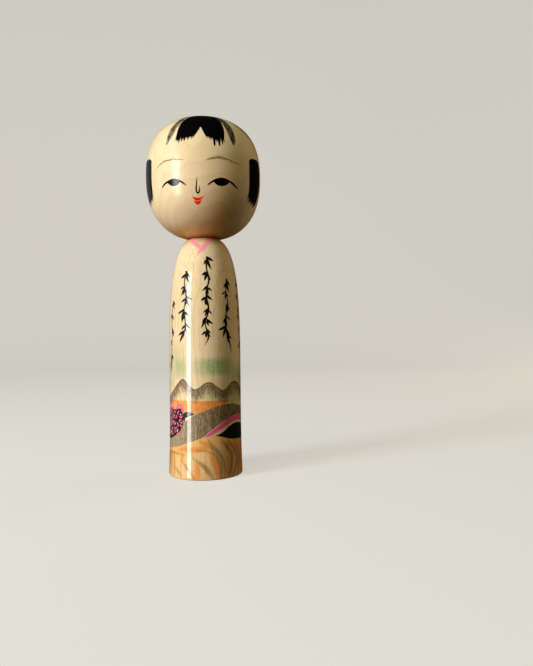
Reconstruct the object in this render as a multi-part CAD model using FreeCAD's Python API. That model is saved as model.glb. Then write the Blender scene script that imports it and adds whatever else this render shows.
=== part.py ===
"""Kokeshi doll, eight-sun size: a turned wooden body, a turned head and the peg between them.

Millimetres, +Z up, origin at the centre of the base, face towards -Y.
"""

import FreeCAD, Part
import math
import os

# Driving dimensions
overall_height = 240.0
head_diameter = 77.4
base_diameter = 50.0
barrel_diameter = 48.3
neck_diameter = 19.4
peg_diameter = 10.0

# Heights
neck_z = 159.3
seat_gap = 0.1
seat_z = neck_z + seat_gap
head_widest_z = 200.9
barrel_low_z = 45.0
shoulder_z = 60.0

# The full-bodied curves of the turning: 2 would be an ellipse, more is squarer
crown_power = 2.53
jaw_power = 2.42
shoulder_rise_power = 3.77
shoulder_radius_power = 3.26
curve_points = 14

# Small radii and edge breaks
foot_round = 0.9
arris_round = 0.3
hole_break = 0.5
peg_chamfer = 0.8

# Peg and its two drilled holes
peg_in_body = 22.0
peg_in_head = 24.0
glue_room = 1.5
running_clearance = 0.08
drill_half_angle = math.radians(59.0)

UP = FreeCAD.Vector(0, 0, 1)
RADIAL = FreeCAD.Vector(1, 0, 0)


def at(radius, z):
    """A point of a turned profile."""
    return FreeCAD.Vector(radius, 0, z)


def line(start, end):
    return Part.LineSegment(start, end).toShape()


def end_angle(radius, end_radius, radius_power):
    """The angle at which the curve of `power_curve` comes in to end_radius."""
    return math.acos((end_radius / radius) ** (radius_power / 2))


def power_curve(start_z, radius, end_radius, end_z, radius_power, rise_power):
    """A full, squarish curve that leaves start_z upright at `radius` and closes on end_radius at end_z."""
    last = end_angle(radius, end_radius, radius_power)
    rise = (end_z - start_z) / math.sin(last) ** (2 / rise_power)
    points = []
    for step in range(curve_points + 1):
        angle = last * step / curve_points
        r = radius * max(math.cos(angle), 0.0) ** (2 / radius_power)
        points.append(at(r, start_z + rise * math.sin(angle) ** (2 / rise_power)))
    points[-1] = at(end_radius, end_z)
    curve = Part.BSplineCurve()
    upright = UP if end_z > start_z else -UP
    if end_radius == 0:
        curve.interpolate(Points=points, InitialTangent=upright, FinalTangent=-RADIAL)
    else:
        curve.interpolate(points)
    return curve.toShape()


def turned(edges):
    """The solid that a closed half profile sweeps round the lathe's axis."""
    face = Part.Face(Part.Wire(edges))
    return face.revolve(FreeCAD.Vector(0, 0, 0), UP, 360)


def circle_edges(solid, radius, z):
    """The round edges of `solid` that lie at one radius and height."""
    found = []
    for edge in solid.Edges:
        box = edge.BoundBox
        flat = box.ZLength < 0.01 and abs(box.ZMin - z) < 0.01
        if flat and abs(box.XMax - radius) < 0.01:
            found.append(edge)
    return found


def drilled_hole(radius, mouth_z, depth, direction):
    """A drill's full shape: straight hole, pointed bottom and a broken edge at the mouth."""
    away = UP * direction
    tip = radius / math.tan(drill_half_angle)
    mouth = FreeCAD.Vector(0, 0, mouth_z)
    straight = Part.makeCylinder(radius, depth, mouth, away)
    point = Part.makeCone(radius, 0, tip, mouth + away * depth, away)
    broken_edge = Part.makeCone(radius + hole_break, radius, hole_break, mouth, away)
    return straight.fuse([point, broken_edge]).removeSplitter()


def make_body():
    """The trunk: a flat foot with a slight flare, a straight barrel and full round shoulders."""
    foot = base_diameter / 2
    barrel = barrel_diameter / 2
    neck = neck_diameter / 2
    flare = foot - barrel
    turned_corner = foot_round * (1 - math.sqrt(0.5))
    edges = [
        line(at(0, 0), at(foot - foot_round, 0)),
        Part.Arc(
            at(foot - foot_round, 0),
            at(foot - turned_corner, turned_corner),
            at(foot, foot_round),
        ).toShape(),
        Part.Arc(
            at(foot, foot_round),
            at(barrel + flare / 4, (foot_round + barrel_low_z) / 2),
            at(barrel, barrel_low_z),
        ).toShape(),
        line(at(barrel, barrel_low_z), at(barrel, shoulder_z)),
        power_curve(shoulder_z, barrel, neck, neck_z, shoulder_radius_power, shoulder_rise_power),
        line(at(neck, neck_z), at(0, neck_z)),
        line(at(0, neck_z), at(0, 0)),
    ]
    trunk = turned(edges)
    trunk = trunk.makeFillet(arris_round, circle_edges(trunk, neck, neck_z))
    socket_radius = peg_diameter / 2 + running_clearance
    return trunk.cut(drilled_hole(socket_radius, neck_z, peg_in_body + glue_room, -1))


def make_head():
    """The head: a full rounded form, flat where it sits on the neck."""
    widest = head_diameter / 2
    seat = neck_diameter / 2
    edges = [
        line(at(0, seat_z), at(seat, seat_z)),
        power_curve(head_widest_z, widest, seat, seat_z, jaw_power, jaw_power),
        power_curve(head_widest_z, widest, 0, overall_height, crown_power, crown_power),
        line(at(0, overall_height), at(0, seat_z)),
    ]
    ball = turned(edges)
    ball = ball.makeFillet(arris_round, circle_edges(ball, seat, seat_z))
    return ball.cut(drilled_hole(peg_diameter / 2, seat_z, peg_in_head + glue_room, 1))


def make_neck_dowel():
    """The peg: a plain round dowel, chamfered at both ends."""
    length = peg_in_body + seat_gap + peg_in_head
    peg = Part.makeCylinder(peg_diameter / 2, length, FreeCAD.Vector(0, 0, neck_z - peg_in_body))
    ends = circle_edges(peg, peg_diameter / 2, neck_z - peg_in_body)
    ends += circle_edges(peg, peg_diameter / 2, seat_z + peg_in_head)
    return peg.makeChamfer(peg_chamfer, ends)


os.makedirs("parts", exist_ok=True)
for node, make in (("body", make_body), ("head", make_head), ("neck_dowel", make_neck_dowel)):
    shape = make()
    shape.exportStep("parts/" + node + ".step")
    print(node, "valid", shape.isValid(), "solids", len(shape.Solids), "volume", round(shape.Volume))
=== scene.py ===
import functools
import math
import random
import bpy
import bmesh
import numpy as np
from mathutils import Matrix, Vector


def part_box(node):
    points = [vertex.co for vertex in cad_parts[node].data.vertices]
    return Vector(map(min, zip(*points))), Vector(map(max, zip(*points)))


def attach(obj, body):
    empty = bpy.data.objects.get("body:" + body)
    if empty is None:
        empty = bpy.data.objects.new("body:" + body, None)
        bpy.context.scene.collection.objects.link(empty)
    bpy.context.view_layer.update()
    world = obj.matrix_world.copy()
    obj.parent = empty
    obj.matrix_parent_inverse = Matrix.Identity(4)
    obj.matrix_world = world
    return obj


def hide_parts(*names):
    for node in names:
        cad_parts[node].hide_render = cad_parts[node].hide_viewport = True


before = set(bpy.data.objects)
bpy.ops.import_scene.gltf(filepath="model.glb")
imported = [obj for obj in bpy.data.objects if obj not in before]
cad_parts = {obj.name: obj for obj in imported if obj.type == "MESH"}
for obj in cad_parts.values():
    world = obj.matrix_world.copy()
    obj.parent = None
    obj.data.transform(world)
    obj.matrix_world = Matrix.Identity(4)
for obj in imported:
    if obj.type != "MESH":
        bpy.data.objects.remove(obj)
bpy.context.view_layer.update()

# A kokeshi doll. The wood is turned again here from the CAD's own sizes, finely enough for a clean
# gloss, and the painting lies on it as thin films and as washes in the wood's own material.
#
# Lengths in the painting are millimetres. A place on the body is (millimetres round the barrel, height);
# a place on the head is (degrees of turn, millimetres down from the crown). Turn 0 faces -Y, and
# grows towards +X.
MM = 0.001


def in_mm(corner):
    return [value / MM for value in corner]


body_low, body_high = map(in_mm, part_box("body"))
head_low, head_high = map(in_mm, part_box("head"))
peg_low, peg_high = map(in_mm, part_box("neck_dowel"))

# Sizes of the turning, from the frame, and the powers that shape its curves
FOOT_RADIUS = body_high[0]
BARREL_RADIUS = FOOT_RADIUS * 0.966
NECK_RADIUS = 9.7
NECK_Z = body_high[2]
SEAT_Z = head_low[2]
CROWN_Z = head_high[2]
HEAD_RADIUS = head_high[0]
HEAD_WIDEST_Z = 200.9
BARREL_LOW_Z = 45.0
SHOULDER_Z = 60.0
PEG_RADIUS = peg_high[0]
CROWN_POWER = 2.53
JAW_POWER = 2.42
SHOULDER_RADIUS_POWER = 3.26
SHOULDER_RISE_POWER = 3.77
FOOT_ROUND = 0.9
ARRIS = 0.3

# The peg's two drilled holes
SOCKET_ROOM = 0.08
PEG_FIT = 0.01
HOLE_ROOM = 1.5
HOLE_BREAK = 0.5
DRILL_HALF_ANGLE = math.radians(59)

# How finely the turning is worked out: points in a curve, the step of the lines that paint follows,
# and the steps and segments of the two meshes
CURVE_POINTS = 240
LINE_STEP = 0.2
BASE_STEP = 3.0
BODY_STEP = 0.75
HEAD_STEP = 0.9
BODY_SEGMENTS = 216
HEAD_SEGMENTS = 256
# Edges that bend more than this stay sharp
SHARP_ANGLE = math.radians(40)
FULL_TURN = 2 * math.pi

# Paint films: how proud they stand, how far they reach into the wood, and the step up to a film laid
# over another or under one
INK = 0.025
SINK = 0.06
OVER = 0.012
UNDER = INK * 0.9
# A stroke's columns of points, the share of its height that it has at its edges, and the share of a
# patch's reach at which its innermost ring lies
STROKE_COLUMNS = 9
EDGE_HEIGHT = 0.35
HUB = 0.02


# ---------------- curves and turned surfaces


def power_curve(radius, end_radius, start_z, end_z, radius_power, rise_power):
    """A full, squarish curve: upright at `radius` and start_z, closing on end_radius at end_z."""
    last = math.acos((end_radius / radius) ** (radius_power / 2))
    angle = np.linspace(0, last, CURVE_POINTS)
    rise = (end_z - start_z) / math.sin(last) ** (2 / rise_power)
    radii = radius * np.clip(np.cos(angle), 0, 1) ** (2 / radius_power)
    return np.column_stack([radii, start_z + rise * np.sin(angle) ** (2 / rise_power)])


def evenly(points, step):
    """The same line with its points `step` apart."""
    points = np.asarray(points, float)
    run = np.concatenate([[0], np.cumsum(np.hypot(*np.diff(points, axis=0).T))])
    count = max(2, int(round(run[-1] / step)) + 1)
    marks = np.linspace(0, run[-1], count)
    return np.column_stack([np.interp(marks, run, column) for column in points.T])


def rounded(before, corner, after, steps=5):
    """A small rounded corner, from `before` to `after`."""
    before, corner, after = np.array([before, corner, after])
    t = np.linspace(0, 1, steps)[:, None]
    return (1 - t) ** 2 * before + 2 * t * (1 - t) * corner + t**2 * after


def smooth(points, step=0.4):
    """A soft curve through given points, with samples about `step` apart."""
    points = np.asarray(points, float)
    if len(points) == 2:
        return np.linspace(*points, 12)
    gaps = np.sqrt(np.maximum(np.hypot(*np.diff(points[:, :2], axis=0).T), 1e-6))
    knots = np.concatenate([[0], np.cumsum(gaps)])
    slopes = np.gradient(points, knots, axis=0)
    pieces = []
    for i, gap in enumerate(gaps):
        count = max(3, int(math.ceil(gap * gap / step)))
        t = np.linspace(0, 1, count, endpoint=False)[:, None]
        pieces.append(
            (2 * t**3 - 3 * t**2 + 1) * points[i]
            + (t**3 - 2 * t**2 + t) * gap * slopes[i]
            + (3 * t**2 - 2 * t**3) * points[i + 1]
            + (t**3 - t**2) * gap * slopes[i + 1]
        )
    return np.vstack(pieces + [points[-1:]])


class Turned:
    """The outside of a turned piece, on which paint is laid by (turn, along)."""

    def __init__(self, node, profile, along, turn_unit):
        self.node = node
        self.profile = np.asarray(profile, float)
        self.marks = np.asarray(along, float)
        self.turn_unit = turn_unit
        slope = np.gradient(self.profile, self.marks, axis=0)
        self.stretches = np.maximum(np.hypot(slope[:, 0], slope[:, 1]), 1e-6)
        outward = np.sign(self.profile[-1, 1] - self.profile[0, 1])
        self.normals = np.column_stack([slope[:, 1], -slope[:, 0]]) / self.stretches[:, None] * outward

    def radius(self, along):
        return np.interp(along, self.marks, self.profile[:, 0])

    def stretch(self, along):
        """Millimetres of surface to one unit of `along`."""
        return np.interp(along, self.marks, self.stretches)

    def at(self, turn, along, lift):
        """Points `lift` outside the surface, in millimetres."""
        radius = self.radius(along) + lift * np.interp(along, self.marks, self.normals[:, 0])
        height = np.interp(along, self.marks, self.profile[:, 1])
        height = height + lift * np.interp(along, self.marks, self.normals[:, 1])
        angle = turn * self.turn_unit
        return np.stack([radius * np.sin(angle), -radius * np.cos(angle), height], axis=-1)


def body_outline():
    """The trunk from the foot's edge up to the neck's arris."""
    low = np.linspace(FOOT_ROUND, SHOULDER_Z, 80)
    flare = (FOOT_RADIUS - BARREL_RADIUS) * np.clip(1 - low / BARREL_LOW_Z, 0, 1) ** 2
    shoulder = power_curve(
        BARREL_RADIUS, NECK_RADIUS, SHOULDER_Z, NECK_Z, SHOULDER_RADIUS_POWER, SHOULDER_RISE_POWER
    )
    return np.vstack([np.column_stack([BARREL_RADIUS + flare, low]), shoulder[1:]])


def head_outline():
    """The head from the crown down to its seat."""
    crown = power_curve(HEAD_RADIUS, 0, HEAD_WIDEST_Z, CROWN_Z, CROWN_POWER, CROWN_POWER)
    jaw = power_curve(HEAD_RADIUS, NECK_RADIUS, HEAD_WIDEST_Z, SEAT_Z, JAW_POWER, JAW_POWER)
    return np.vstack([crown[::-1], jaw[1:]])


body_line = evenly(body_outline(), LINE_STEP)
head_line = evenly(head_outline(), LINE_STEP)
head_down = np.concatenate([[0], np.cumsum(np.hypot(*np.diff(head_line, axis=0).T))])
BODY = Turned("body", body_line, body_line[:, 1], 1 / BARREL_RADIUS)
HEAD = Turned("head", head_line, head_down, math.radians(1))


# ---------------- meshes


def add(name, data):
    """A new object in the scene."""
    made = bpy.data.objects.new(name, data)
    bpy.context.collection.objects.link(made)
    return made


def add_mesh(name, points, faces, material):
    """A smooth mesh, from points in metres."""
    mesh = bpy.data.meshes.new(name)
    mesh.from_pydata(points.tolist(), [], faces)
    mesh.validate()
    mesh.shade_smooth()
    mesh.materials.append(material)
    return add(name, mesh)


def mesh_piece(name, points, faces, body, material):
    """A closed mesh, from points in millimetres, that rides on a body."""
    piece = add_mesh(name, points * MM, faces, material)
    shaped = bmesh.new()
    shaped.from_mesh(piece.data)
    bmesh.ops.recalc_face_normals(shaped, faces=shaped.faces)
    shaped.to_mesh(piece.data)
    shaped.free()
    piece.data.set_sharp_from_angle(angle=SHARP_ANGLE)
    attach(piece, body)
    return piece


def store(piece, name, values):
    """One number or vector for each vertex, for the material to read."""
    values = np.asarray(values, float)
    if values.ndim == 1:
        layer = piece.data.attributes.new(name, "FLOAT", "POINT")
        layer.data.foreach_set("value", values)
    else:
        layer = piece.data.attributes.new(name, "FLOAT_VECTOR", "POINT")
        layer.data.foreach_set("vector", values.ravel())


def around(line, angle):
    """Each (radius, height) of a line at every angle, as a grid of points."""
    radius, height = np.asarray(line)[:, :1], np.asarray(line)[:, 1:]
    return np.stack([radius * np.sin(angle), -radius * np.cos(angle), height + 0 * angle], axis=-1)


def closed(grid):
    """A grid of vertex numbers that goes all the way round, back to its first column."""
    return np.column_stack([grid, grid[:, 0]])


def quads(grid):
    """A face for each cell of a grid of vertex numbers."""
    corners = [grid[:-1, :-1], grid[:-1, 1:], grid[1:, 1:], grid[1:, :-1]]
    return np.stack(corners, axis=-1).reshape(-1, 4).tolist()


def lathe(name, profile, segments, body, material):
    """A closed turned mesh, from a profile that starts and ends on the axis; with each vertex's turn
    and height."""
    rings = profile[1:-1]
    angle = np.linspace(-math.pi, math.pi, segments, endpoint=False)
    ends = [[[0, 0, profile[0, 1]]], [[0, 0, profile[-1, 1]]]]
    points = np.vstack([ends[0], around(rings, angle).reshape(-1, 3), ends[1]])
    last = len(points) - 1
    grid = closed(np.arange(1, last).reshape(-1, segments))
    faces = quads(grid)
    for end, ring in ((0, grid[0].tolist()), (last, grid[-1, ::-1].tolist())):
        faces += [(end, here, there) for here, there in zip(ring[:-1], ring[1:])]
    piece = mesh_piece(name, points, faces, body, material)
    turn = np.concatenate([[0], np.tile(angle, len(rings)), [0]])
    return piece, turn, points[:, 2]


def drilled(radius, mouth_z, bottom_z):
    """A drilled hole's profile, from its mouth to the drill's point on the axis."""
    way = np.sign(bottom_z - mouth_z)
    point_z = bottom_z + way * radius / math.tan(DRILL_HALF_ANGLE)
    broken_edge = [(radius + HOLE_BREAK, mouth_z), (radius, mouth_z + way * HOLE_BREAK)]
    return broken_edge + [(radius, bottom_z), (0, point_z)]


def outline(first, *others):
    """A closed outline from smooth spans; each later one goes on from the corner that the last ends on."""
    spans = [first]
    for span in others:
        spans.append(spans[-1][-1:] + span)
    return np.vstack([smooth(span)[:-1] for span in spans])


class Film:
    """Closed shells of paint on a turned surface, gathered into one piece."""

    def __init__(self, surface):
        self.surface = surface
        self.points, self.faces, self.load, self.flow = [], [], [], []

    def sheet(self, turn, along, lift, load, run, across, ring=False):
        """One shell over a grid of places, each so far along and across the brush's run.

        A ring's columns close on themselves.
        """
        flow = np.stack(np.broadcast_arrays(run, across, float(len(self.points))), axis=-1)
        base = sum(map(len, self.points))
        self.points.append(self.surface.at(turn, along, lift).reshape(-1, 3))
        self.points.append(self.surface.at(turn, along, -SINK).reshape(-1, 3))
        self.load.append(np.tile(np.broadcast_to(load, turn.shape).ravel(), 2))
        self.flow.append(np.tile(flow.reshape(-1, 3), (2, 1)))
        grid = base + np.arange(turn.size).reshape(turn.shape)
        if ring:
            grid = closed(grid)
            rim = grid[-1]
            cap = [grid[0, :-1].tolist()]
        else:
            rim = np.concatenate([grid[0], grid[1:, -1], grid[-1, -2::-1], grid[-2::-1, 0]])
            cap = []
        for face in quads(grid) + cap:
            self.faces.append(face)
            self.faces.append([corner + turn.size for corner in reversed(face)])
        for here, there in zip(rim[:-1].tolist(), rim[1:].tolist()):
            self.faces.append([here, here + turn.size, there + turn.size, there])

    def stroke(self, pressed, lift=INK, load=(1.0, 1.0), soft=0.0):
        """A brush stroke through (turn, along, width).

        `load` is the ink at its start and its end, and `soft` is how much of it the edges lack.
        """
        path = smooth(pressed)
        turn, along, width = path.T
        radius = self.surface.radius(along) * self.surface.turn_unit
        stretch = self.surface.stretch(along)
        sideways = np.gradient(turn) * radius
        onward = np.gradient(along) * stretch
        length = np.maximum(np.hypot(sideways, onward), 1e-9)
        half = np.maximum(width, 0.05)[:, None] / 2
        across = np.linspace(-1, 1, STROKE_COLUMNS)[None, :]
        turns = turn[:, None] - across * half * (onward / length / radius)[:, None]
        alongs = along[:, None] + across * half * (sideways / length / stretch)[:, None]
        crown = lift * (EDGE_HEIGHT + (1 - EDGE_HEIGHT) * np.sqrt(1 - across**2))
        loads = np.linspace(load[0], load[1], len(path))[:, None] * (1 - soft * across**2)
        self.sheet(turns, alongs, crown, loads, np.cumsum(length)[:, None], across * half)

    def patch(self, centre, *spans, lift=INK, rings=14):
        """A filled shape, whose whole outline is in sight of its centre."""
        reach = np.linspace(HUB, 1, rings)[:, None, None]
        places = np.asarray(centre, float) + reach * (outline(*spans) - np.asarray(centre, float))
        turn, along = places[..., 0], places[..., 1]
        sideways = turn * self.surface.turn_unit * self.surface.radius(along)
        self.sheet(turn, along, lift, 1.0, along, sideways, ring=True)

    def crown(self, reach, wave, waves=5):
        """A round dab over the top of the head, its edge gently waved."""
        columns, rings = 72, 12
        turn = np.linspace(-180, 180, columns, endpoint=False)[None, :]
        rim = reach + wave * np.sin(np.radians(turn * waves))
        along = np.linspace(2 * HUB, 1, rings)[:, None] * rim
        turn = np.broadcast_to(turn, along.shape)
        self.sheet(turn, along, INK, 1.0, along, turn * 0.1, ring=True)

    def make(self, name, colour):
        """The gathered shells as one piece, in one of the paints."""
        slot, material = paint(colour)
        piece = mesh_piece(name, np.vstack(self.points), self.faces, self.surface.node, material)
        store(piece, "load", np.concatenate(self.load))
        store(piece, "flow", np.vstack(self.flow))


# ---------------- materials


class Shading:
    """The nodes of one material, each made and wired in one call."""

    def __init__(self, name):
        self.material = bpy.data.materials.new(name)
        self.material.use_nodes = True
        self.tree = self.material.node_tree
        self.tree.nodes.clear()
        place = self.node("TexCoord").outputs["Object"]
        self.place = self.vector("SCALE", place, {"Scale": 1 / MM})

    def node(self, kind, inputs=None, **settings):
        made = self.tree.nodes.new("ShaderNode" + kind)
        for name, value in settings.items():
            setattr(made, name, value)
        for name, value in (inputs or {}).items():
            if isinstance(value, bpy.types.NodeSocket):
                self.tree.links.new(value, made.inputs[name])
            else:
                made.inputs[name].default_value = value
        return made

    def math(self, operation, first, second=0.0, third=0.0):
        inputs = {0: first, 1: second, 2: third}
        return self.node("Math", inputs, operation=operation).outputs[0]

    def vector(self, operation, first, inputs):
        return self.node("VectorMath", {0: first, **inputs}, operation=operation).outputs[0]

    def step(self, value, low, high, to_low=0.0, to_high=1.0):
        """A soft step of `value` between low and high."""
        inputs = {0: value, 1: low, 2: high, 3: to_low, 4: to_high}
        return self.node("MapRange", inputs, interpolation_type="SMOOTHSTEP").outputs[0]

    def noise(self, place, stretch, detail=2.0, roughness=0.5):
        scaled = self.vector("MULTIPLY", place, {1: stretch})
        inputs = {"Vector": scaled, "Scale": 1.0, "Detail": detail, "Roughness": roughness}
        return self.node("TexNoise", inputs).outputs["Fac"]

    def mix(self, factor, below, above, kind="MIX"):
        inputs = {0: factor, 6: below, 7: above}
        return self.node("Mix", inputs, data_type="RGBA", blend_type=kind).outputs[2]

    def read(self, name, vector=False):
        made = self.node("Attribute", attribute_name=name)
        return made.outputs["Vector" if vector else "Fac"]

    def bump(self, height, distance, strength):
        inputs = {"Height": height, "Distance": distance, "Strength": strength}
        return self.node("Bump", inputs).outputs[0]

    def surface(self, inputs):
        shader = self.node("BsdfPrincipled", inputs)
        self.node("OutputMaterial", {"Surface": shader.outputs[0]})
        return self.material


PALE_WOOD = (0.84, 0.715, 0.475, 1)
DEEP_WOOD = (0.72, 0.545, 0.30, 1)
FIBRE = (0.76, 0.62, 0.42, 1)
PORE = (0.45, 0.33, 0.2, 1)
# Varnish and painted shade at the neck's joint: their colour, the seam's painted shadow, and how far they
# reach up the head and down the body
STAIN_AND_SHADE = (0.86, 0.66, 0.35, 1)
SEAM_SHADOW = (0.45, 0.24, 0.12, 1)
STAIN_AND_SHADE_UP = 9.0
STAIN_AND_SHADE_DOWN = -8.0

# How high lathe marks and fibres stand in the wood and in its wax, in metres
WOOD_RELIEF = 0.00004
COAT_RELIEF = 0.000012

# How the grain lies in each turning, in millimetres, and how its wax shines
HEAD_GRAIN = {
    "pith": (8.0, -18.0, 165.0), "axis": (0.12, -0.50, -0.86), "ring": 6.5, "figure": 0.32,
    "fibres": 0.2, "coat": 0.50, "coat_roughness": 0.17,
}
BODY_GRAIN = {
    "pith": (-40.0, 22.0, 0.0), "axis": (0.02, 0.03, 1.0), "ring": 3.4, "figure": 0.36,
    "fibres": 0.7, "coat": 0.8, "coat_roughness": 0.07,
}

# Each paint: its slot, the wood under it, its colour and how it is brushed
PAINTS = {
    "hair_black": ("ink_black", HEAD_GRAIN, (0.001, 0.001, 0.002), {"dry": 1.0, "specular": 0.05}),
    "hair_brown": ("ink_brown", HEAD_GRAIN, (0.012, 0.008, 0.006), {"dry": 0.3, "thin": 0.5, "fine": 2.2}),
    "brow_brown": ("ink_brown", HEAD_GRAIN, (0.20, 0.10, 0.06), {"dry": 0.2, "thin": 0.7, "fine": 1.6}),
    "lip_red": ("paint_red", HEAD_GRAIN, (1.0, 0.008, 0.001), {"dry": 1.2, "specular": 0.1}),
    "sumi_ink": ("ink_black", BODY_GRAIN, (0.002, 0.002, 0.003), {"dry": 1.1}),
    "pink_paint": ("paint_pink", BODY_GRAIN, (0.97, 0.29, 0.38), {"dry": 0.8}),
    "magenta_paint": ("paint_pink", BODY_GRAIN, (0.74, 0.11, 0.25), {"dry": 0.5}),
    "petal_pink": ("paint_pink", BODY_GRAIN, (0.95, 0.10, 0.28), {"dry": 1.2}),
    "deep_green": ("paint_green", BODY_GRAIN, (0.002, 0.008, 0.004), {"dry": 1.2}),
    "leaf_green": ("paint_green", BODY_GRAIN, (0.003, 0.020, 0.012), {"dry": 1.2}),
    "white_paint": ("paint_white", BODY_GRAIN, (0.62, 0.80, 0.72), {"dry": 1.2}),
}


def growth_rings(shade, grain):
    """0 in the early wood of each ring, rising to 1 at its late wood."""
    axis = Vector(grain["axis"]).normalized()
    away = shade.vector("SUBTRACT", shade.place, {1: grain["pith"]})
    cross = shade.vector("CROSS_PRODUCT", away, {1: axis})
    distance = shade.node("VectorMath", {0: cross}, operation="LENGTH").outputs["Value"]
    wander = shade.noise(shade.place, (0.05, 0.05, 0.02), 2.0)
    ring = shade.math("MULTIPLY_ADD", wander, 2.4, shade.math("DIVIDE", distance, grain["ring"]))
    part = shade.math("FRACT", ring)
    rising = shade.math("POWER", part, 2.5)
    return shade.math("MULTIPLY", rising, shade.step(part, 0.82, 1.0, 1.0, 0.0))


def wood_colour(shade, grain):
    """Pale close-grained wood: faint growth rings, fine fibres and a warm bloom."""
    bloom = shade.noise(shade.place, (0.035, 0.035, 0.018), 3.0)
    fibres = shade.noise(shade.place, (1.7, 1.7, 0.045), 4.0, 0.6)
    pores = shade.noise(shade.place, (5.0, 5.0, 0.35), 2.0)
    rings = growth_rings(shade, grain)
    warmth = shade.step(bloom, 0.3, 0.75, 0.0, 0.45)
    ring_tone = shade.math("MULTIPLY_ADD", rings, grain["figure"] * 1.6, warmth)
    toned = shade.mix(ring_tone, PALE_WOOD, DEEP_WOOD)
    fibre_tone = shade.step(fibres, 0.42, 0.72, 0.0, grain["fibres"])
    streaked = shade.mix(fibre_tone, toned, FIBRE, "MULTIPLY")
    pore_tone = shade.step(pores, 0.62, 0.78, 0.0, 0.1)
    return shade.mix(pore_tone, streaked, PORE, "MULTIPLY")


def waxed(shade, colour, grain, roughness=0.42, specular=0.2):
    """The waxed, burnished finish over wood or paint: lathe rings and fibres barely raise it."""
    lathe_marks = shade.noise(shade.place, (0.06, 0.06, 2.4), 2.0)
    fibres = shade.noise(shade.place, (2.5, 2.5, 0.1), 2.0)
    relief = shade.math("MULTIPLY_ADD", lathe_marks, 0.6, fibres)
    uneven = shade.noise(shade.place, (0.12, 0.12, 0.05), 3.0)
    rough = shade.step(uneven, 0.3, 0.7, roughness - 0.06, roughness + 0.08)
    return shade.surface(
        {
            "Base Color": colour,
            "Roughness": rough,
            "Normal": shade.bump(relief, WOOD_RELIEF, 0.35),
            "Specular IOR Level": specular,
            "Coat Weight": grain["coat"],
            "Coat Roughness": grain["coat_roughness"],
            "Coat IOR": 1.5,
            "Coat Normal": shade.bump(relief, COAT_RELIEF, 0.3),
        }
    )


def neck_stain_and_shade(shade, colour, joint_z, reach):
    """Varnish pooled by the neck's joint, darkened there by painted shade, with a painted shadow in the
    seam; a negative `reach` goes down.
    """
    height = shade.node("SeparateXYZ", {0: shade.place}).outputs["Z"]
    near = shade.math("DIVIDE", shade.math("SUBTRACT", height, joint_z), reach)
    # Warm tint near the joint: partly pooled varnish, partly painted shade
    warm = shade.step(near, 0.0, 1.0, 0.9, 0.0)
    colour = shade.mix(warm, colour, STAIN_AND_SHADE, "MULTIPLY")
    # A painted shadow in the seam between head and body
    seam_shadow = shade.step(near, 0.0, 0.16, 0.75, 0.0)
    return shade.mix(seam_shadow, colour, SEAM_SHADOW, "MULTIPLY")


def head_wood():
    shade = Shading("head_wood")
    # The head's wood takes varnish and painted shade towards its seat
    colour = neck_stain_and_shade(shade, wood_colour(shade, HEAD_GRAIN), SEAT_Z, STAIN_AND_SHADE_UP)
    return waxed(shade, colour, HEAD_GRAIN)


def dowel_wood():
    """Bare turned wood, with no wax."""
    shade = Shading("dowel_wood")
    bare = {**BODY_GRAIN, "coat": 0.0}
    colour = shade.mix(1.0, wood_colour(shade, bare), (0.9, 0.8, 0.7, 1), "MULTIPLY")
    return waxed(shade, colour, bare, roughness=0.6)


def ink(name, grain, colour, dry, thin=0.0, specular=0.25, fine=1.0):
    """Brushed ink or paint, which breaks into streaks along the stroke where its load is low.

    `dry` is how much ink full load adds, `thin` how far the wood shows through where the ink has not
    pooled, and `fine` how closely it pools.
    """
    shade = Shading(name)
    flow = shade.read("flow", vector=True)
    bristles = shade.noise(flow, (0.22, 3.0, 7.3), 3.0, 0.6)
    pooled = shade.noise(flow, (0.4 * fine, 0.8 * fine, 3.1), 3.0)
    broken = shade.math("SUBTRACT", shade.math("MULTIPLY", shade.read("load"), 1 + dry), bristles)
    cover = shade.step(broken, 0.02, 0.32)
    thinned = shade.math("MULTIPLY", cover, shade.step(pooled, 0.32, 0.52, 1.0 - thin, 1.0))
    tone = shade.step(bristles, 0.3, 0.75, 0.0, 0.25)
    brighter = tuple(min(1.0, c * 1.5 + 0.001) for c in colour)
    varied = shade.mix(tone, colour + (1,), brighter + (1,))
    return waxed(shade, shade.mix(thinned, wood_colour(shade, grain), varied), grain, 0.5, specular)


@functools.cache
def paint(name):
    """A paint's slot and its material, which is mixed once."""
    slot, grain, colour, brushing = PAINTS[name]
    return slot, ink(name, grain, colour, **brushing)


# ---------------- washes on the body

# Lines across the body, each as (turn, height)
RIDGE = [
    (-76, 54), (-69, 59.5), (-62, 62.5), (-55, 58), (-48, 53), (-42, 56), (-37, 57.5), (-31.5, 53.4),
    (-25, 56.4), (-19, 61.4), (-15, 64.9), (-13.4, 65.7), (-11.8, 65), (-7, 60.4), (-4.4, 59),
    (-1.5, 60.2), (1.4, 62.5), (4.4, 63.6), (6.5, 63.2), (9.6, 61), (12.6, 59), (14.6, 57.8), (17.8, 60),
    (21.8, 63), (25, 63.4), (29, 62), (34, 58.5), (40, 54.5), (48, 57), (54, 61), (60, 58.5), (67, 53),
    (72, 52), (76, 54),
]
HILL_TOP = [
    (-76, 36), (-62, 40), (-50, 31), (-40, 22), (-31, 24), (-23.7, 28.4), (-17, 34), (-12, 37.7),
    (-8.6, 40.1), (-5, 42.4), (0, 44.5), (6.3, 46.6), (10, 47.7), (14, 48.6), (18.6, 49), (23, 48.8),
    (28.4, 47.6), (36, 45.4), (46, 39), (58, 34), (76, 36),
]
HILL_FOOT = [
    (-76, 25), (-62, 29), (-50, 22), (-40, 16), (-31, 18), (-19.3, 20.5), (-9.5, 23.8), (-3.3, 26.1),
    (1.4, 28), (4, 30.4), (7.7, 33.1), (11.5, 35.6), (16, 37.8), (21.5, 39.8), (27, 40.6), (33, 40),
    (40, 36), (48, 30), (58, 25), (76, 25),
]
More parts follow.
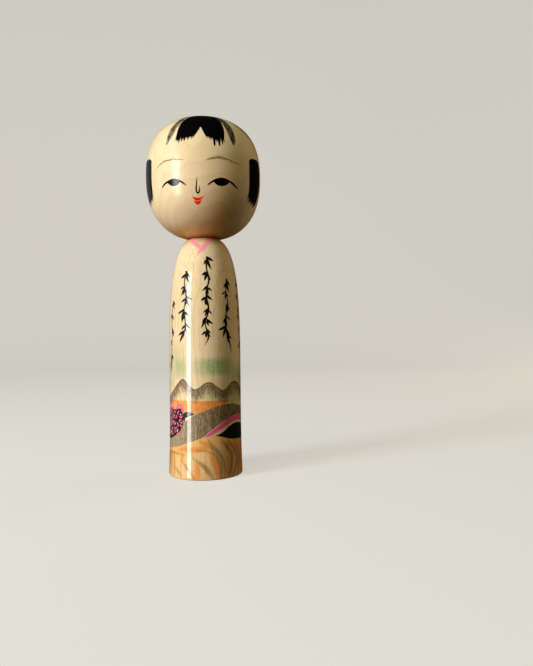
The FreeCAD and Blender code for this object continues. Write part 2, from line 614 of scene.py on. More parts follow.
GROUND_TOP = [
    (-76, 24.6), (-62, 28.6), (-50, 21.6), (-40, 15.6), (-31, 17.6), (-19.3, 20.2), (-9.5, 23.5),
    (-3.3, 25.8), (1.4, 27.7), (5, 28.2), (9, 28.3), (14, 27.2), (19, 25.8), (26, 24.9), (34, 24.7),
    (44, 26.4), (58, 24.6), (76, 24.6),
]
ORANGE_FOOT = [
    (-76, 46), (-50, 43), (-31, 44), (-12, 43), (-5, 43.6), (5, 46.2), (10, 47.9), (15, 49.4), (18, 51),
    (22, 53), (46, 53), (54, 48), (76, 46),
]
ORANGE_TOP = 51.5
# How far washes run on past their lines and over a neighbour, so that no pale wood shows between them
ORANGE_OVERRUN = 0.9
HILL_OVERLAP = 0.5
GROUND_OVERRUN = 0.8

# Soft green clouds: (middle turn, middle height, half width, half height, strength)
CLOUDS = [
    (-21, 78, 8, 10, 0.24),
    (-15.5, 72, 4.8, 6.8, 0.4),
    (-26, 66, 6, 6, 0.22),
    (-32, 60, 5, 5, 0.3),
    (8.5, 73.3, 13, 5.7, 0.68),
    (29, 68, 8, 6, 0.4),
    (3, 55.2, 6, 3.2, 0.26),
    (10.5, 54, 5.6, 3.2, 0.34),
    (25, 53, 8, 4.5, 0.5),
    (33, 63, 5, 6, 0.4),
    (54, 76, 13, 6, 0.6),
    (-58, 75, 13, 6, 0.6),
    (-50, 50, 10, 4, 0.4),
]
CLOUD_FADE = 1.1
# Broad soft brush marks on the ground: (turn, height, half width)
GROUND_STROKES = [
    [(-32, 16.2, 0.4), (-26, 16.4, 0.9), (-20, 16.6, 0.8), (-13, 16.2, 0.3)],
    [(-22, 15, 0.4), (-21.2, 9, 0.8), (-22, 1, 0.5)],
    [(-21.6, 8.6, 0.3), (-18, 5.3, 0.8), (-14.4, 2.2, 0.5)],
    [(-13.4, 11.5, 0.3), (-9.5, 7, 1), (-5.6, 1.4, 0.6)],
    [(-6.4, 14.8, 0.2), (-1.9, 11.6, 1), (1.6, 8.7, 1.5), (4.4, 5, 1.5), (6.5, 1.6, 0.8)],
    [(-3.4, 19.4, 0.3), (3.8, 18.7, 0.7), (8.2, 16.3, 1), (11.1, 12.4, 1.3), (12.4, 7.2, 1.3),
     (12, 1, 0.8)],
    [(4.2, 26, 0.5), (6.8, 21.5, 1.4), (10.4, 17.6, 1.6), (13.5, 12.9, 1.2), (14.9, 6.9, 0.9),
     (14.4, 1, 0.6)],
    [(13.4, 24.8, 0.6), (17.1, 20.5, 1.3), (20.8, 14.8, 1.6), (20.5, 8.9, 1.4), (18.4, 2.4, 0.8)],
    [(18.1, 24, 0.6), (23.2, 18.8, 1.2), (26.1, 12.3, 1.4), (24.4, 6.7, 1.2), (21.6, 1, 0.6)],
    [(27, 21, 0.6), (29.4, 13.4, 1.3), (28.4, 7.5, 1.2), (26, 1.2, 0.6)],
]
GROUND_WARM = [
    [(-0.6, 25, 1.2), (3, 22.6, 1.8), (5.6, 20.4, 1)],
    [(4.6, 17, 0.8), (7.6, 12.4, 2.2), (9.6, 7.4, 2.4), (10.4, 2.6, 1.4)],
    [(-4.4, 12, 0.6), (-3, 7, 1.9), (-3.8, 0.6, 2.2)],
    [(-25.3, 14.4, 0.6), (-24.4, 9.4, 1.3), (-24.8, 3, 0.9)],
    [(-18, 19, 0.6), (-11, 20, 1.5), (-3.6, 19.8, 1.8), (2, 20.8, 1.4)],
    [(-13, 17, 0.5), (-14.4, 12, 0.9)],
    [(17, 15, 0.6), (17.4, 8, 1.5), (16.6, 2, 1)],
    [(23, 24, 0.8), (26, 19, 1.4)],
    [(31, 20, 0.8), (33, 12, 2), (31, 3, 1.4)],
]
# The turns at which the ground's marks are laid again, to go round the doll
REPEATS = (0.0, 66.0, -58.0)


def level(points, turn):
    """The height of a listed line at each turn."""
    line = smooth(points, 0.5)
    return np.interp(turn, line[:, 0], line[:, 1])


def round_about(turn):
    """A turn round the barrel, brought back to within half a turn of the front."""
    whole = FULL_TURN * BARREL_RADIUS
    return (turn + whole / 2) % whole - whole / 2


def inside_strokes(strokes, turn, height):
    """How far inside the nearest stroke each place lies, the strokes being repeated round the foot."""
    inside = np.full(turn.shape, -1e3)
    for shift in REPEATS:
        for stroke in strokes:
            for spot_turn, spot_height, half_width in smooth(stroke, 0.7):
                away = np.hypot(round_about(turn - spot_turn - shift), height - spot_height)
                inside = np.maximum(inside, half_width - away)
    return inside


def paint_landscape(piece, angle, height):
    """Writes how far each place of the body lies inside each painted shape."""
    turn = angle * BARREL_RADIUS
    green = np.zeros(turn.shape)
    for mid_turn, mid_height, half_width, half_height, strength in CLOUDS:
        sideways = np.abs(round_about(turn - mid_turn)) / half_width
        upright = np.abs(height - mid_height) / half_height
        green += strength * np.exp(-CLOUD_FADE * (sideways**4 + upright**4))
    hill_top = level(HILL_TOP, turn)
    orange_foot = np.maximum(level(ORANGE_FOOT, turn) - ORANGE_OVERRUN, hill_top - HILL_OVERLAP)
    store(piece, "green", green)
    store(piece, "mountain", level(RIDGE, turn) - height)
    store(piece, "orange", np.minimum(ORANGE_TOP - height, height - orange_foot))
    store(piece, "hill", np.minimum(hill_top - height, height - level(HILL_FOOT, turn)))
    store(piece, "ground", level(GROUND_TOP, turn) + GROUND_OVERRUN - height)
    store(piece, "ground_brown", inside_strokes(GROUND_STROKES, turn, height))
    store(piece, "ground_warm", inside_strokes(GROUND_WARM, turn, height))
    store(piece, "turn", turn)


class Washes(Shading):
    """The body's wood with thin, streaky washes of colour laid over it one after another."""

    def __init__(self, name, grain):
        super().__init__(name)
        self.colour = wood_colour(self, grain)
        self.drag = self.noise(self.place, (1.1, 1.1, 0.09), 4.0, 0.62)
        self.fine_drag = self.noise(self.place, (2.8, 2.8, 0.16), 3.0, 0.6)
        self.blots = self.noise(self.place, (0.9, 0.9, 0.55), 4.0, 0.65)
        self.specks = self.noise(self.place, (1.6, 1.6, 1.3), 3.0, 0.7)
        self.ragged = self.math("SUBTRACT", self.drag, 0.5)
        self.turn = self.read("turn")

    def wash(self, tint, *covers):
        """Lays a tint on thinly, where all its covers are."""
        self.colour = self.mix(self.times(*covers), self.colour, tint + (1,), "MULTIPLY")

    def times(self, *covers):
        return functools.reduce(functools.partial(self.math, "MULTIPLY"), covers)

    def edge(self, name, rag, low, high, top=1.0):
        """A painted shape's cover, soft from low to high inside its edge and ragged by the drag."""
        inside = self.math("MULTIPLY_ADD", self.ragged, rag, self.read(name))
        return self.step(inside, low, high, 0.0, top)


def wash_sky(shade):
    """Green clouds and the orange field under the mountains."""
    streaks = shade.step(shade.drag, 0.25, 0.7, 0.7, 1.2)
    green = shade.times(shade.read("green"), streaks, shade.step(shade.blots, 0.3, 0.7, 0.8, 1.1))
    shade.wash((0.16, 0.54, 0.30), shade.math("MINIMUM", green, 1.0))
    patches = shade.step(shade.blots, 0.3, 0.65, 0.7, 1.0)
    streaks = shade.step(shade.drag, 0.3, 0.65, 0.78, 1.05)
    orange = shade.times(shade.edge("orange", 0.7, -0.1, 0.5), patches, streaks)
    shade.wash((1.0, 0.46, 0.07), orange)
    shade.wash((0.98, 0.76, 0.60), orange, shade.step(shade.turn, -12.0, 5.0))


def wash_mountains(shade):
    """A dry brown range that fades downwards, with a thin line along its crest."""
    depth = shade.read("mountain")
    crest = shade.step(shade.math("MULTIPLY_ADD", shade.ragged, 0.3, depth), -0.05, 0.35)
    worn = shade.math("MULTIPLY_ADD", shade.blots, 9.0, depth)
    fade = shade.step(shade.math("MULTIPLY_ADD", shade.ragged, 12.0, worn), 8.5, 14.5, 1.0, 0.0)
    streaks = shade.step(shade.fine_drag, 0.34, 0.58, 0.70, 1.0)
    dots = shade.step(shade.specks, 0.38, 0.6, 0.70, 1.0)
    shade.wash((0.13, 0.10, 0.075), crest, fade, shade.times(streaks, dots))
    shade.wash((0.22, 0.19, 0.16), crest, shade.step(depth, 0.5, 1.3, 0.75, 0.0))


def wash_hill(shade):
    """The brown hill, which grows darker towards the doll's left."""
    darker = shade.step(shade.turn, -34.0, 20.0, 0.7, 1.06)
    streaks = shade.step(shade.fine_drag, 0.3, 0.62, 0.6, 1.0)
    weave = shade.times(streaks, shade.step(shade.blots, 0.3, 0.66, 0.74, 1.0))
    shade.wash((0.08, 0.055, 0.035), shade.edge("hill", 0.5, -0.1, 0.5), darker, weave)


def wash_ground(shade):
    """Sandy ground, shadowed towards the doll's left, with orange and brown brush marks."""
    ground = shade.read("ground")
    cover = shade.edge("ground", 0.8, -0.1, 0.8)
    below = shade.step(ground, 0.0, 1.0)
    shade.wash((1.0, 0.77, 0.46), cover, shade.step(ground, 4.0, 13.0, 1.0, 0.7))
    shade.wash((0.62, 0.42, 0.26), cover, shade.step(shade.turn, 13.0, 32.0, 0.0, 0.6))
    shade.wash((1.0, 0.58, 0.28), shade.edge("ground_warm", 1.6, -0.9, 1.0, 0.85), below)
    marks = shade.times(shade.edge("ground_brown", 1.4, -0.9, 1.0, 0.8), below)
    shade.wash((0.30, 0.26, 0.22), marks, shade.step(shade.fine_drag, 0.3, 0.62, 0.6, 1.0))


def body_wood():
    """Waxed wood with the landscape washed on."""
    shade = Washes("body_wood", BODY_GRAIN)
    for wash in (wash_sky, wash_mountains, wash_hill, wash_ground):
        wash(shade)
    # The body's wood takes varnish and painted shade towards the neck
    return waxed(shade, neck_stain_and_shade(shade, shade.colour, NECK_Z, STAIN_AND_SHADE_DOWN), BODY_GRAIN)


# ---------------- the turned wood


def make_body():
    """The trunk, in place of the CAD's."""
    neck_edge = (NECK_RADIUS, NECK_Z)
    side = body_outline()
    side = side[side[:, 0] > NECK_RADIUS + ARRIS * 0.7]
    socket = drilled(PEG_RADIUS + SOCKET_ROOM, NECK_Z, peg_low[2] - HOLE_ROOM)
    profile = np.vstack(
        [
            evenly([(0, 0), (FOOT_RADIUS - FOOT_ROUND, 0)], BASE_STEP)[:-1],
            rounded((FOOT_RADIUS - FOOT_ROUND, 0), (FOOT_RADIUS, 0), side[0], 7)[:-1],
            evenly(side, BODY_STEP)[:-1],
            rounded(side[-1], neck_edge, (NECK_RADIUS - ARRIS, NECK_Z)),
            socket,
        ]
    )
    piece, angle, height = lathe("doll_body", profile, BODY_SEGMENTS, "body", body_wood())
    paint_landscape(piece, angle, height)
    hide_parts("body")


def make_head():
    """The head, in place of the CAD's."""
    seat_edge = (NECK_RADIUS, SEAT_Z)
    side = head_line[(head_line[:, 1] > HEAD_WIDEST_Z) | (head_line[:, 0] > NECK_RADIUS + ARRIS)]
    hole = drilled(PEG_RADIUS + PEG_FIT, SEAT_Z, peg_high[2] + HOLE_ROOM)
    profile = np.vstack(
        [
            evenly(side, HEAD_STEP)[:-1],
            rounded(side[-1], seat_edge, (NECK_RADIUS - ARRIS, SEAT_Z)),
            hole,
        ]
    )
    piece = lathe("doll_head", profile, HEAD_SEGMENTS, "head", head_wood())[0]
    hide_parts("head")


# ---------------- hair and face

# Outlines are spans of (turn, down) that meet at corners, each going on where the last one ends
BANGS = [
    [(-21.6, 46.4), (-21.7, 41), (-21.2, 35), (-18.6, 28.6), (-13, 22.8), (-4, 19), (5, 18.2), (15, 19.6),
     (22.4, 23.4), (27, 28.4), (28.5, 35), (28.2, 41), (26.8, 46.6)],
    [(21, 47.6), (14, 47.2), (8, 46)],
    [(5.6, 42.4), (3.1, 38.8)],
    [(0.6, 42.2), (-2, 45.4)],
    [(-8, 46.8), (-15, 47), (-21.6, 46.4)],
]
# Where the longer locks of the fringe end: (turn, down, width at its root)
FRINGE = [
    (-21.6, 48.6, 1.2), (-19.8, 49.6, 1.4), (-18, 50.7, 1.4), (-15.2, 49.8, 1.5), (-12.4, 49.6, 1.4),
    (-9, 49.2, 1.3), (-5.4, 48.4, 1), (-3.4, 46.8, 0.8),
    (9.2, 47.6, 1), (11.4, 47.8, 1.2), (13.4, 48.6, 1.2), (16.6, 53.1, 1.7), (19, 50.2, 1.4),
    (21.4, 52.8, 1.8), (24.6, 51.4, 1.6), (26.4, 49.8, 1),
]


def make_bangs():
    """The fringe: one black shape, and the locks that end it, long ones and fine ones between."""
    film = Film(HEAD)
    film.patch((4, 32), *BANGS, rings=22)
    draw = random.Random(2)
    locks = list(FRINGE)
    for turn in np.concatenate([np.arange(-20.8, -3.5, 0.95), np.arange(9.2, 26.8, 0.95)]):
        parting = 0.9 * (-6 < turn < 12)
        locks.append((turn, 48.3 + draw.uniform(-0.9, 0.9) - parting, draw.uniform(0.45, 0.8)))
    for turn, down, width in locks:
        lean = 0.04 * (turn - 3)
        root = [(turn - lean, 43.5, width * 0.8), (turn - lean / 2, 46.2, width)]
        tip = [(turn, down - 1.4, width * 0.6), (turn + lean / 3, down, 0.06)]
        film.stroke(root + tip, lift=UNDER)
    film.make("bangs", "hair_black")


def side_lock(side):
    """The outline of the long lock in front of one ear; side is -1 or 1."""
    inner, top, foot = (55.6, 57.7, 82.0) if side > 0 else (54.0, 57.7, 81.4)
    edge = [
        (0, top), (4, top - 1.6), (12, top - 2.6), (20, top - 2.6), (24.5, top + 1), (26, top + 8),
        (26, top + 16), (24.5, top + 22), (21, foot + 0.6), (12, foot + 0.8), (5, foot), (2, foot - 2.6),
        (0.8, foot - 8), (0, foot - 16), (0, top),
    ]
    return [(side * (inner + turn), down) for turn, down in edge]


# The ragged foot of a side lock: (turn, down, width)
LOCK_TIPS = [
    (57, 81.8, 0.8), (58.4, 83.4, 1.2), (60.8, 84.6, 1.6), (63.4, 84.2, 1.8), (66, 85.6, 1.8),
    (68.8, 85, 1.8), (71.6, 86.4, 1.8), (74.4, 86, 1.8), (76.8, 85.2, 1.6), (78.8, 83.2, 1.2),
]


def make_side_locks():
    for side, name, rise in ((-1, "side_lock_right", 1.6), (1, "side_lock_left", 0.0)):
        film = Film(HEAD)
        film.patch((side * 68, 69), side_lock(side), rings=16)
        for turn, down, width in LOCK_TIPS:
            foot = down - rise
            root = [(side * (turn + 0.8), foot - 7, width), (side * turn, foot - 1.8, width * 0.9)]
            tip = (side * (turn - 1.2), foot + 0.8, 0.1)
            film.stroke(root + [tip], lift=UNDER, load=(1.0, 0.45))
        film.make(name, "hair_black")


def make_back_hair():
    """The hair at the crown and the back of the head, brushed like the fringe."""
    film = Film(HEAD)
    film.crown(8.6, 0.5)
    film.patch(
        (180, 42),
        [(146, 61), (144, 50), (145, 40), (150, 31), (159, 24), (170, 20), (180, 19), (190, 20), (201, 24),
         (210, 31), (215, 40), (216, 50), (214, 61)],
        [(200, 63.5), (180, 65), (160, 63.5), (146, 61)],
        rings=26,
    )
    draw = random.Random(5)
    for step in range(33):
        turn = 147 + 2.06 * step + draw.uniform(-0.5, 0.5)
        tip = 65 + 2.5 * math.cos(math.radians((turn - 180) * 2.2)) + draw.uniform(-1.5, 2.2)
        lock = [(turn, 58, 1.3), (turn + 0.2, tip - 2.5, 1.1), (turn + draw.uniform(-0.6, 0.6), tip, 0.06)]
        film.stroke(lock, lift=UNDER)
    film.make("back_hair", "hair_black")


# Thin brush sweeps from the crown: (turn, down, width)
TUFTS = [
    [(-12, 11, 0.8), (-17, 18, 2.6), (-22.4, 26, 4.4), (-26, 32.2, 5.4), (-28, 38, 5.6),
     (-29.6, 43.4, 5), (-31.2, 47.4, 3.4), (-32.5, 50.4, 1)],
    [(16, 11, 0.8), (24, 18, 2.6), (30.2, 26, 4.2), (33.8, 32.4, 5), (35.4, 38, 5.2),
     (36.2, 43.6, 4.6), (36.6, 47.4, 3.4), (36.3, 50.4, 1.2)],
    [(-44, 10, 0.8), (-52, 19, 2.4), (-58, 27, 3.4), (-64, 34, 3.8), (-70, 40, 3.2), (-74, 48, 0.3)],
    [(38, 11, 0.8), (47, 19, 2.8), (54.5, 27.4, 4.2), (61, 33, 4.8), (70, 37.5, 4.6), (76, 43, 3.4),
     (79, 50, 0.3)],
    [(-104, 10, 0.8), (-112, 20, 2.4), (-118, 30, 3.4), (-121, 40, 3.4), (-122, 50, 0.3)],
    [(104, 10, 0.8), (113, 20, 2.4), (119, 30, 3.4), (122, 40, 3.4), (123, 50, 0.3)],
]


def make_tufts():
    """Dry brown sweeps beside the fringe, fuller on the doll's left."""
    film = Film(HEAD)
    for tuft in TUFTS:
        depth = 0.35 if tuft[0][0] > 0 else 0.0
        film.stroke(tuft, lift=INK * 0.8, load=(0.74 + depth, 0.6 + depth), soft=0.25)
    film.make("hair_tufts", "hair_brown")


# Brush lines of the face: (turn, down, width)
BROWS = {
    "brow_right": [
        (-45.4, 64.6, 0.4), (-39.4, 62.2, 1.4), (-33.4, 60.9, 2.1), (-26.2, 60.5, 2.3), (-19.8, 60.8, 1.8),
        (-12, 61.6, 0.5),
    ],
    "brow_left": [
        (8, 61.9, 0.5), (12.8, 60.9, 2), (18.5, 59.9, 3.2), (24.3, 59.8, 3.2), (30.3, 60.7, 2.6),
        (36.8, 61.8, 1.8), (45.2, 63.2, 0.4),
    ],
}
LIDS = {
    "eye_right": [
        (-38.4, 77, 0.6), (-34.3, 75.1, 1.2), (-30.6, 74.1, 1.25), (-23.2, 73.1, 1.1), (-16.7, 74.5, 1.2),
        (-14, 75.6, 1.1), (-11, 77.3, 0.5),
    ],
    "eye_left": [
        (9.6, 77.2, 0.5), (13.3, 75.4, 1.1), (18, 73.6, 1.2), (24.1, 72.8, 1.15), (29.8, 73.7, 1.25),
        (32.9, 74.5, 1.35), (36.2, 75.8, 1.3), (41.2, 77.9, 0.6),
    ],
}
# The pupils and the two lips, each as its centre, its upper edge and its lower edge
PUPILS = {
    "eye_right": (
        (-23.8, 75),
        [(-31, 74.1), (-27, 73.2), (-23, 73), (-19.4, 73.6), (-16.6, 74.7)],
        [(-19.9, 76.7), (-23.8, 77.1), (-28.4, 76), (-31, 74.1)],
    ),
    "eye_left": (
        (23.4, 75.1),
        [(15.2, 74.9), (19, 73.5), (23.4, 72.8), (28, 73.2), (31.9, 74.1)],
        [(27.9, 76.4), (23.2, 77.4), (18.1, 76.8), (15.2, 74.9)],
    ),
}
LIPS = [
    (
        (-0.2, 85.8),
        [(-6, 83.9), (-3.2, 84.7), (-0.2, 85.1), (2.8, 84.8), (6, 83.9)],
        [(3.3, 86.1), (-0.3, 86.9), (-3.8, 86.1), (-6, 83.9)],
    ),
    (
        (-0.3, 87.9),
        [(-4.4, 86.8), (-0.3, 87.1), (3.8, 86.7)],
        [(2.2, 88.5), (-0.4, 89.4), (-3, 88.5), (-4.4, 86.8)],
    ),
]


def make_face():
    for name, brow in BROWS.items():
        film = Film(HEAD)
        film.stroke(brow, load=(0.74, 0.6), soft=0.75)
        film.make(name, "brow_brown")
    for name, lid in LIDS.items():
        film = Film(HEAD)
        film.stroke(lid)
        film.patch(*PUPILS[name], lift=INK + OVER)
        film.make(name, "hair_black")
    nose = Film(HEAD)
    nose.stroke(
        [(-0.3, 72.2, 0.2), (-0.6, 75, 0.6), (-1.2, 78.4, 0.9), (-1.3, 80.6, 1.0), (-0.6, 81.9, 1.0),
         (0.5, 82.1, 1.0), (1.6, 81.1, 0.85), (1.8, 79.4, 0.6), (1.8, 77.8, 0.2)],
        load=(0.95, 0.85),
        soft=0.2,
    )
    nose.make("nose_line", "hair_black")
    lips = Film(HEAD)
    for lip in LIPS:
        lips.patch(*lip, rings=6)
    lips.make("lips", "lip_red")


# ---------------- painting on the body


def make_collar():
    """The two crossed bands of the robe's collar."""
    film = Film(BODY)
    film.stroke(
        [(-23, 159, 2.0), (-15, 157.6, 2.6), (-8, 155, 3.0), (-2.4, 152, 3.0), (0.6, 150.4, 1.6)],
        load=(1.0, 0.9),
        soft=0.3,
    )
    film.stroke(
        [(14, 158.8, 2.0), (9.4, 157, 2.8), (4.6, 154, 3.2), (1, 151, 3.2), (-1.4, 148.6, 2.6),
         (-3.8, 145.4, 0.8)],
        lift=INK + OVER,
        load=(1.1, 0.35),
        soft=0.3,
    )
    film.make("collar", "pink_paint")


def leaf(film, turn, height, angle, length, width):
    """A single brushed leaf: it starts fine, swells, and ends in a long point."""
    bend = 0.2 * length
    across, down = math.sin(angle), -math.cos(angle)
    spots = []
    for part, press in ((0, 0.2), (0.2, 0.85), (0.45, 1.0), (0.75, 0.6), (1.0, 0.04)):
        sag = bend * part * (1 - part)
        place = (turn + part * length * across + sag * down, height + part * length * down - sag)
        spots.append((*place, width * press))
    film.stroke(spots)


# Hanging sprays in black ink: the stem as (turn, height, width), the parts of its run where leaves
# spring, a leaf's length, and the seed of its draws
EVENLY_SPRUNG = [0.04, 0.2, 0.36, 0.52, 0.68, 0.84]
SPRAYS = {
    "spray_centre": (
        [(5, 145.4, 1.7), (4, 138, 1), (5.6, 130, 1.2), (3.4, 121, 0.8), (5, 111, 1.2), (2.8, 101, 0.8),
         (4.8, 93, 1.2), (2.4, 87, 0.1)],
        [0.03, 0.17, 0.31, 0.45, 0.58, 0.71, 0.84], 7, 3,
    ),
    "spray_right": (
        [(-11.6, 136, 1.4), (-12.6, 128, 0.8), (-10.8, 120, 1), (-12, 111, 0.8), (-11, 101, 1),
         (-12.4, 91, 0.1)],
        [0.03, 0.2, 0.38, 0.56, 0.74, 0.9], 6.2, 8,
    ),
    "spray_left": (
        [(20, 131, 1.4), (18.4, 123, 0.8), (19.4, 114, 1), (17, 105, 1), (17.6, 96, 1.4),
         (20.4, 88, 1.2), (22, 81, 0.1)],
        [0.03, 0.18, 0.33, 0.48, 0.62, 0.74], 6.4, 12,
    ),
    "spray_far_right": (
        [(-23.6, 117, 1), (-25, 106, 0.7), (-24.6, 95, 0.8), (-25, 84, 0.8), (-26.4, 75, 1),
         (-27, 67, 0.1)],
        EVENLY_SPRUNG, 4.8, 21,
    ),
    "spray_far_left": (
        [(33, 132, 1), (32.4, 121, 0.7), (32, 110, 0.9), (32.6, 100, 0.7), (33, 90, 0.9),
         (33.4, 83, 0.1)],
        EVENLY_SPRUNG, 5, 34,
    ),
}
# The leaves of one cluster, the first ones always there: (spread, share of the length, drop)
CLUSTER = [(0.9, 0.9, 0.0), (0.3, 1.15, 0.7), (-0.75, 0.75, 1.5), (-0.15, 0.7, 2.3)]


def make_sprays():
    """Five hanging stems with leaves in loose clusters, by turns on either side."""
    for name, (stem, springs, size, seed) in SPRAYS.items():
        film = Film(BODY)
        draw = random.Random(seed)
        film.stroke(stem)
        line = smooth(stem, 0.5)
        side = 1
        for part in springs:
            place = min(max(part + draw.uniform(-0.035, 0.035), 0.01), 0.95)
            turn, height, _ = line[int(place * (len(line) - 1))]
            vigour = size * draw.uniform(0.65, 1.15)
            for spread, share, drop in CLUSTER[: draw.choice((2, 3, 3, 4))]:
                angle = side * spread + draw.uniform(-0.25, 0.25)
                length = vigour * share * draw.uniform(0.85, 1.15)
                leaf(film, turn, height - drop, angle, length, draw.uniform(0.22, 0.33) * vigour)
            side = -side if draw.random() < 0.75 else side
        film.make(name, "sumi_ink")


def make_valley():
    """The pink stream over the brown hill, and the dark hill below it."""
    strip = Film(BODY)
    strip.stroke(
        [(2, 27.8, 0.5), (5.4, 29.8, 2.4), (9.2, 32.2, 3.0), (13.1, 34.5, 3.4), (17.6, 36.8, 3.6),
         (22.6, 38.6, 3.8), (29, 39, 3.8), (36, 37, 3.4), (43, 32.6, 2.4), (50, 28.4, 0.4)],
        load=(0.9, 0.8),
        soft=0.45,
    )
    strip.make("valley_stream", "magenta_paint")
    hill = Film(BODY)
    hill.patch(
        (26, 30),
        [(8.7, 28.7), (12.2, 29.8), (15.6, 31.7), (19.3, 34.1), (22.6, 35.3), (28, 35.6), (35, 34.2),
         (40, 31.6), (46, 28)],
        [(40, 25.4), (34, 24.7), (26, 24.9), (19, 25.9), (13.8, 27.4), (8.7, 28.7)],
    )
    hill.make("dark_hill", "deep_green")


# Azalea heads: (turn, height, size); and the two buds that stand above them
AZALEAS = [
    (-15.6, 42.8, 2.7), (-21.6, 41.4, 2.6), (-28, 43, 2.8), (-33.6, 40, 2.6), (-14.8, 36.8, 2.3),
    (-20.4, 35.2, 2.7), (-26.6, 36.6, 2.7), (-32.4, 33.6, 2.6), (-19.4, 30.6, 1.9), (-25.4, 30.4, 2.4),
    (-31, 28.4, 2),
]
BUDS = [
    [(-30.4, 44.6, 1.4), (-28, 47, 1.6), (-26.6, 48.6, 0.5)],
    [(-26.6, 48.6, 0.5), (-25, 46.8, 1.6), (-22.6, 45, 1.4)],
    [(-19.8, 45.2, 1.4), (-17.4, 47.6, 1.6), (-16, 49.4, 0.5)],
    [(-16, 49.4, 0.5), (-15, 47.4, 1.6), (-13, 44.6, 1.4)],
]


def petal(turn, height, size, angle, draw):
    """One petal: a thick curled dab, its ends turned in towards the flower's middle."""
    dab = []
    for part, press in ((-0.9, 0.4), (-0.45, 0.95), (0.1, 1.05), (0.6, 0.8), (1.0, 0.3)):
        reach = size * (0.95 - 0.32 * part * part) + draw.uniform(-0.2, 0.2)
        curl = angle + part * 0.8
        dab.append((turn + reach * math.sin(curl), height + reach * math.cos(curl), press))
    return dab


def make_azaleas():
    """A flowering bush: dark leaves, looped pink petals and white specks."""
    leaves = Film(BODY)
    leaves.patch(
        (-24, 36),
        [(-12, 42.6), (-11.8, 38), (-14, 34.4), (-17, 30.2), (-22, 27.4), (-28, 25.2), (-34, 25.4)],
        [(-38, 32), (-38, 40), (-33, 44.5), (-26.4, 46), (-20, 45.2), (-15.4, 46), (-12, 42.6)],
        lift=INK * 0.8,
    )
    leaves.patch(
        (-9.6, 42.6),
        [(-12.4, 43.6), (-8.6, 44.2), (-4.6, 42.8)],
        [(-8, 41.3), (-12.4, 40.4), (-12.4, 43.6)],
    )
    leaves.make("azalea_leaves", "leaf_green")
    draw = random.Random(11)
    petals, specks = Film(BODY), Film(BODY)
    for turn, height, size in AZALEAS:
        first = draw.uniform(0, FULL_TURN)
        for step in range(3):
            angle = first + step * FULL_TURN / 3 + draw.uniform(-0.35, 0.35)
            petals.stroke(petal(turn, height, size, angle, draw), lift=INK + OVER)
        x, z = turn + draw.uniform(-0.8, 0.8), height + draw.uniform(-0.8, 0.8)
        specks.stroke([(x - 0.5, z + 0.5, 0.3), (x, z, 0.8), (x + 0.3, z - 0.6, 0.3)], lift=INK + 2 * OVER)
    for bud in BUDS:
        petals.stroke(bud, lift=INK + OVER)
    petals.make("azalea_petals", "petal_pink")
    specks.make("azalea_specks", "white_paint")


# ---------------- camera, floor and light

# The camera, in metres: level and square on, a little to the doll's left, with a slight roll. Its
# focal length is 600 pixels, in a frame 666 high
CAMERA_PLACE = (0.0422, -0.4112, 0.0949)
CAMERA_ROLL = math.radians(-0.50)
SENSOR = 36.0
LENS = SENSOR * 600.0 / 666.0

FLOOR_COLOUR = (0.26, 0.253, 0.238, 1)
GLOW_COLOUR = (1.0, 0.975, 0.90, 1)
PAPER_GLOW = 0.54
ROOM_COLOUR = (1.0, 0.7, 0.4, 1)
ROOM_STRENGTH = 0.016

# Soft panels: name, (azimuth, distance, height), the height aimed at, (width, height), watts, colour,
# and whether it is seen only in the gloss or lights only the matt colours
LIGHTS = [
    ("window_gloss", (-47.5, 1.3, 0.21), 0.20, (0.30, 0.88), 12.4, (0.92, 0.96, 1.0), True),
    ("window", (-54, 1.3, 0.6), 0.15, (0.4, 0.8), 24.3, (0.80, 0.90, 0.98), False),
    ("table_bounce", (-48, 1.3, 0.0), 0.15, (0.5, 0.5), 5.6, (1.0, 0.42, 0.03), False),
    ("ceiling", (-20, 1.1, 1.4), 0.15, (1.0, 1.0), 9.0, (1.0, 0.92, 0.52), False),
    ("back_wall", (118, 1.4, 0.5), 0.12, (1.2, 1.0), 9.8, (1.0, 0.76, 0.47), False),
    ("wall_gloss", (-140, 1.4, 0.3), 0.15, (1.2, 1.0), 1.1, (0.95, 0.97, 1.0), True),
]


def make_camera():
    lens = bpy.data.cameras.new("camera")
    lens.sensor_width = SENSOR
    lens.lens = LENS
    camera = add("camera", lens)
    camera.location = CAMERA_PLACE
    camera.rotation_euler = (math.radians(90), 0.0, 0.0)
    camera.rotation_euler.rotate_axis("Z", CAMERA_ROLL)
    bpy.context.scene.camera = camera


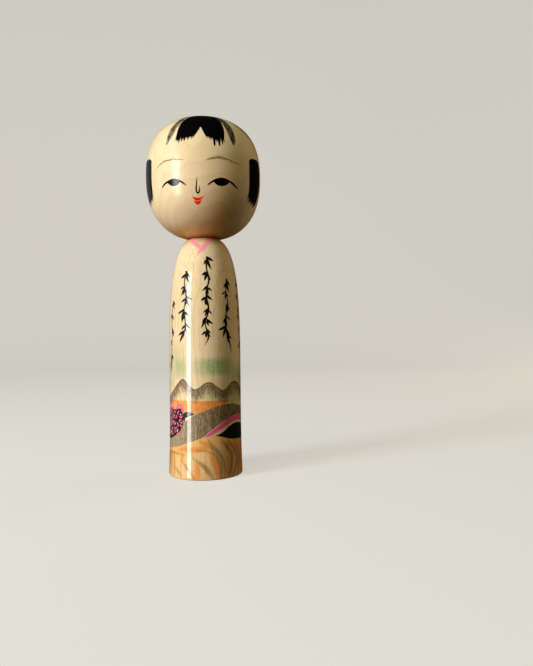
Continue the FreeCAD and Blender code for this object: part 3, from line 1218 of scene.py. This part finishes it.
def make_floor():
    """A pale round floor that curves up all round into a plain wall, softly glowing like lit paper."""
    shade = Shading("studio_paper")
    material = shade.surface(
        {
            "Base Color": FLOOR_COLOUR,
            "Roughness": 0.95,
            "Specular IOR Level": 0.0,
            "Emission Color": GLOW_COLOUR,
            "Emission Strength": PAPER_GLOW,
        }
    )
    material.cycles.emission_sampling = "NONE"
    reach, bend, height = 1.9, 0.6, 2.6
    segments, bend_steps = 96, 16
    line = [(0.0, 0.0), (reach - bend, 0.0)]
    for step in range(1, bend_steps + 1):
        angle = math.radians(90 * step / bend_steps)
        line.append((reach - bend + bend * math.sin(angle), bend - bend * math.cos(angle)))
    line.append((reach, height))
    points = around(line, FULL_TURN * np.arange(segments) / segments).reshape(-1, 3)
    grid = closed(np.arange(len(points)).reshape(-1, segments))
    floor = add_mesh("studio_floor", points, quads(grid), material)
    floor.visible_glossy = False
    floor.visible_diffuse = False
    floor.visible_shadow = False


def area_light(name, place, aim, size, energy, colour, in_gloss):
    """One soft panel, turned towards the doll's axis."""
    lamp = bpy.data.lights.new(name, "AREA")
    lamp.shape = "RECTANGLE"
    lamp.size, lamp.size_y = size
    lamp.energy = energy
    lamp.color = colour
    light = add(name, lamp)
    azimuth, distance, height = place
    angle = math.radians(azimuth)
    light.location = (distance * math.sin(angle), -distance * math.cos(angle), height)
    toward = Vector((0, 0, aim)) - light.location
    light.rotation_euler = toward.to_track_quat("-Z", "Y").to_euler()
    light.visible_camera = False
    light.visible_glossy = in_gloss
    light.visible_diffuse = not in_gloss


def make_light():
    """A tall window to the front left, soft returns from behind on both sides, and a dim warm room."""
    for row in LIGHTS:
        area_light(*row)
    world = bpy.data.worlds.new("studio")
    world.use_nodes = True
    background = world.node_tree.nodes["Background"]
    background.inputs["Color"].default_value = ROOM_COLOUR
    background.inputs["Strength"].default_value = ROOM_STRENGTH
    bpy.context.scene.world = world
    bpy.context.scene.view_settings.view_transform = "Standard"


# ---------------- the whole doll

make_camera()
make_floor()
make_light()
make_body()
make_head()
make_bangs()
make_side_locks()
make_back_hair()
make_tufts()
make_face()
make_collar()
make_sprays()
make_valley()
make_azaleas()

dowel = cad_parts["neck_dowel"].data
dowel.materials.clear()
dowel.materials.append(dowel_wood())
